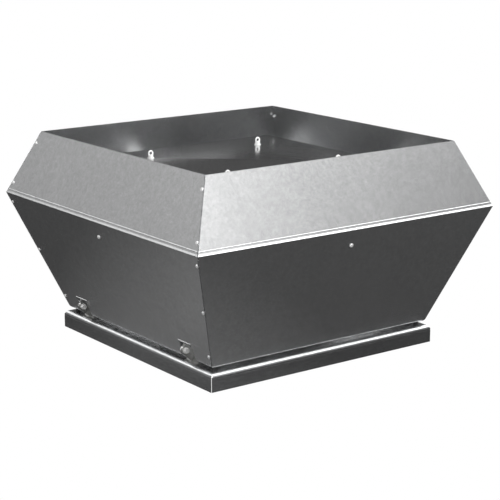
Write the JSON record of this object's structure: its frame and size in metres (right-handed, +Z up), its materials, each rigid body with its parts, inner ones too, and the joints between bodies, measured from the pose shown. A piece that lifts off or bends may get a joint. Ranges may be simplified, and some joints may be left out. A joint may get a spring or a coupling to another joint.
{
  "type": "roof extract fan",
  "caption": "Square vertical-discharge roof fan for kitchen exhaust: hinged sheet-metal casing on a curb base, motor compartment out of the air stream, backward-curved impeller.",
  "frame": {"origin": "centre of the base skirt's lower rim, on the surface it stands on", "axes": "+Z up along the impeller's axis, hinges on the -X side, front and rear panels on -Y and +Y"},
  "size_m": [0.9, 0.9, 0.527],
  "materials": {
    "casing_sheet": "galvanised sheet, semi-gloss, fine spangle",
    "base_sheet": "galvanised sheet, streaky",
    "cover_sheet": "galvanised sheet, glossy",
    "inner_sheet": "galvanised sheet",
    "inlet_sheet": "spun aluminium",
    "hinge_steel": "zinc-plated steel plate",
    "zinc_fasteners": "bright zinc",
    "rivets": "bright aluminium",
    "seal_foam": "closed-cell foam",
    "rubber": "moulded rubber",
    "motor_paint": "painted casting",
    "cowl_paint": "painted pressing",
    "black_plastic": "moulded nylon",
    "core_steel": "laminated steel",
    "bearing_steel": "ground steel",
    "impeller_sheet": "galvanised sheet",
    "cast_hub": "machined casting"
  },
  "bodies": {
    "base": {"base_frame": "base_sheet", "curb_seal": "seal_foam", "inlet_cone": "inlet_sheet", "base_screws": "zinc_fasteners", "support_pads": "rubber", "hinge_bracket_front": "hinge_steel", "hinge_bracket_rear": "hinge_steel", "hinge_pivot_bolts": "zinc_fasteners"},
    "fan_unit": {"arm_bolts": "zinc_fasteners", "cable_gland": "black_plastic", "compartment_wall": "inner_sheet", "cover_eye_nuts": "zinc_fasteners", "cover_plate": "cover_sheet", "cover_studs": "zinc_fasteners", "drive_end_shield": "motor_paint", "fan_cowl": "cowl_paint", "fan_end_shield": "motor_paint", "hinge_leaf_front": "hinge_steel", "hinge_leaf_rear": "hinge_steel", "lower_bearing": "bearing_steel", "lower_panel_front": "casing_sheet", "lower_panel_left": "casing_sheet", "lower_panel_rear": "casing_sheet", "lower_panel_right": "casing_sheet", "lower_panel_rivets": "rivets", "motor_bolts": "zinc_fasteners", "motor_housing": "motor_paint", "motor_plate": "inner_sheet", "panel_screws": "zinc_fasteners", "stator_core": "core_steel", "stud_nuts": "zinc_fasteners", "support_arm_front": "inner_sheet", "support_arm_left": "inner_sheet", "support_arm_rear": "inner_sheet", "support_arm_right": "inner_sheet", "terminal_box": "motor_paint", "terminal_box_lid": "motor_paint", "upper_bearing": "bearing_steel", "upper_panel_front": "casing_sheet", "upper_panel_left": "casing_sheet", "upper_panel_rear": "casing_sheet", "upper_panel_right": "casing_sheet", "upper_panel_rivets": "rivets"},
    "rotor": {"motor_shaft": "bearing_steel", "shaft_key": "bearing_steel", "rotor_core": "core_steel", "cooling_fan": "black_plastic", "impeller_hub": "cast_hub", "hub_bolts": "zinc_fasteners", "impeller_retaining_screw": "zinc_fasteners", "impeller_back_plate": "impeller_sheet", "impeller_shroud": "impeller_sheet", "impeller_blade_1": "impeller_sheet", "impeller_blade_2": "impeller_sheet", "impeller_blade_3": "impeller_sheet", "impeller_blade_4": "impeller_sheet", "impeller_blade_5": "impeller_sheet", "impeller_blade_6": "impeller_sheet", "impeller_blade_7": "impeller_sheet"}
  },
  "joints": [
    {"name": "fan_tilt", "type": "hinge", "parent": "base", "child": "fan_unit", "pos_m": [-0.345, 0, 0.078], "axis": [0, -1, 0], "range_deg": [0, 80]},
    {"name": "impeller_spin", "type": "hinge", "parent": "fan_unit", "child": "rotor", "pos_m": [0, 0, 0.25], "axis": [0, 0, 1], "continuous": true}
  ]
}
